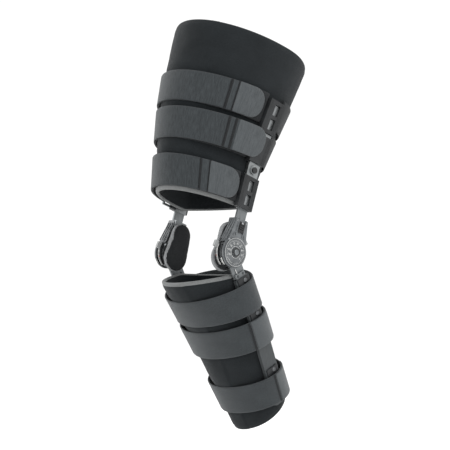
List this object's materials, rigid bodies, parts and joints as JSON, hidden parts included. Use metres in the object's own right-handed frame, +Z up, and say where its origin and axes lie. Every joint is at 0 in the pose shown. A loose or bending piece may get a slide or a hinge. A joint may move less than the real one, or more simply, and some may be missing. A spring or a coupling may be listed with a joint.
{
  "type": "knee brace",
  "caption": "Hinged knee brace: foam thigh and calf wraps with straps, telescoping side bars and limited-motion hinges with dials, held bent.",
  "frame": {"origin": "on the hinge axis, midway between the two hinges, where the knee is", "axes": "+X along the hinge axis towards the outer (lateral) side, +Y towards the back of the leg, +Z up"},
  "size_m": [0.2012, 0.2865, 0.6696],
  "materials": {
    "foam_wrap": "matte knitted laminate over foam",
    "grey_webbing": "brushed loop strap",
    "black_webbing": "woven strap",
    "clip_plastic": "fine textured moulding",
    "silver_bar": "satin anodised",
    "grey_bar": "satin grey coat",
    "slide_steel": "brushed",
    "housing_plastic": "satin grey moulding",
    "dial_plastic": "dark grey with white scale",
    "stop_plastic": "black with a light tab",
    "bush_plastic": "natural nylon",
    "rivet_steel": "turned",
    "pad_foam": "grey foam with soft knit",
    "pad_cover": "black loop backing",
    "button_plastic": "black"
  },
  "bodies": {
    "thigh": {"thigh_wrap": "foam_wrap", "upper_thigh_strap": "grey_webbing", "middle_thigh_strap": "grey_webbing", "lower_thigh_strap": "grey_webbing", "upper_thigh_strap_base": "black_webbing", "middle_thigh_strap_base": "black_webbing", "lower_thigh_strap_base": "black_webbing", "upper_thigh_clip": "clip_plastic", "middle_thigh_clip": "clip_plastic", "lower_thigh_clip": "clip_plastic", "rear_thigh_straps": "black_webbing", "medial_thigh_clips": "clip_plastic", "medial_strap_rings": "rivet_steel", "lateral_thigh_bar": "silver_bar", "medial_thigh_bar": "silver_bar"},
    "hinge_upper": {"lateral_upper_slide_bar": "slide_steel", "lateral_hinge_base": "slide_steel", "lateral_hinge_housing": "housing_plastic", "lateral_dial_face": "dial_plastic", "lateral_pivot_pin": "rivet_steel", "lateral_condyle_pad": "pad_foam", "lateral_pad_cover": "pad_cover", "medial_upper_slide_bar": "slide_steel", "medial_hinge_base": "slide_steel", "medial_hinge_housing": "housing_plastic", "medial_dial_face": "dial_plastic", "medial_pivot_pin": "dial_plastic", "medial_condyle_pad": "dial_plastic", "medial_pad_cover": "dial_plastic", "upper_bar_rivets": "rivet_steel"},
    "hinge_lower": {"lateral_lower_arm": "slide_steel", "lateral_pivot_bush": "bush_plastic", "lateral_lower_slide_bar": "slide_steel", "medial_lower_arm": "slide_steel", "medial_pivot_bush": "dial_plastic", "medial_lower_slide_bar": "slide_steel", "lower_bar_rivets": "rivet_steel"},
    "calf": {"calf_wrap": "foam_wrap", "upper_calf_strap": "grey_webbing", "middle_calf_strap": "grey_webbing", "lower_calf_strap": "grey_webbing", "lateral_calf_bar": "grey_bar", "lateral_calf_clips": "clip_plastic", "medial_calf_bar": "grey_bar", "medial_calf_clips": "clip_plastic", "calf_clip_rivets": "rivet_steel"},
    "lateral_extension_stop": {"lateral_extension_stop": "stop_plastic"},
    "lateral_flexion_stop": {"lateral_flexion_stop": "stop_plastic"},
    "lateral_quick_lock": {"lateral_quick_lock": "housing_plastic"},
    "lateral_thigh_button": {"lateral_thigh_button": "button_plastic"},
    "medial_extension_stop": {"medial_extension_stop": "dial_plastic"},
    "medial_flexion_stop": {"medial_flexion_stop": "dial_plastic"},
    "medial_quick_lock": {"medial_quick_lock": "dial_plastic"},
    "medial_thigh_button": {"medial_thigh_button": "dial_plastic"}
  },
  "joints": [
    {"name": "thigh_telescope", "type": "slide", "parent": "thigh", "child": "hinge_upper", "axis": [0, -0.3214, -0.9469], "range_m": [0, 0.05]},
    {"name": "knee_flexion", "type": "hinge", "parent": "hinge_upper", "child": "hinge_lower", "pos_m": [0, 0, 0], "axis": [1, 0, 0], "range_deg": [-55, 64.5]},
    {"name": "calf_telescope", "type": "slide", "parent": "hinge_lower", "child": "calf", "axis": [0, 0.4462, -0.8949], "range_m": [0, 0.04]},
    {"name": "lateral_extension_stop_turn", "type": "hinge", "parent": "hinge_upper", "child": "lateral_extension_stop", "pos_m": [0, 0, 0], "axis": [1, 0, 0], "range_deg": [-5, 70]},
    {"name": "lateral_flexion_stop_turn", "type": "hinge", "parent": "hinge_upper", "child": "lateral_flexion_stop", "pos_m": [0, 0, 0], "axis": [1, 0, 0], "range_deg": [-60, 3]},
    {"name": "lateral_quick_lock_slide", "type": "slide", "parent": "hinge_upper", "child": "lateral_quick_lock", "axis": [0, -0.3214, -0.9469], "range_m": [0, 0.005]},
    {"name": "lateral_thigh_button_press", "type": "slide", "parent": "thigh", "child": "lateral_thigh_button", "axis": [-1, 0, 0], "range_m": [0, 0.0018], "stiffness_N_per_m": 400},
    {"name": "medial_extension_stop_turn", "type": "hinge", "parent": "hinge_upper", "child": "medial_extension_stop", "pos_m": [0, 0, 0], "axis": [1, 0, 0], "range_deg": [-5, 70]},
    {"name": "medial_flexion_stop_turn", "type": "hinge", "parent": "hinge_upper", "child": "medial_flexion_stop", "pos_m": [0, 0, 0], "axis": [1, 0, 0], "range_deg": [-60, 3]},
    {"name": "medial_quick_lock_slide", "type": "slide", "parent": "hinge_upper", "child": "medial_quick_lock", "axis": [0, -0.3214, -0.9469], "range_m": [0, 0.005]},
    {"name": "medial_thigh_button_press", "type": "slide", "parent": "thigh", "child": "medial_thigh_button", "axis": [1, 0, 0], "range_m": [0, 0.0018], "stiffness_N_per_m": 400}
  ]
}
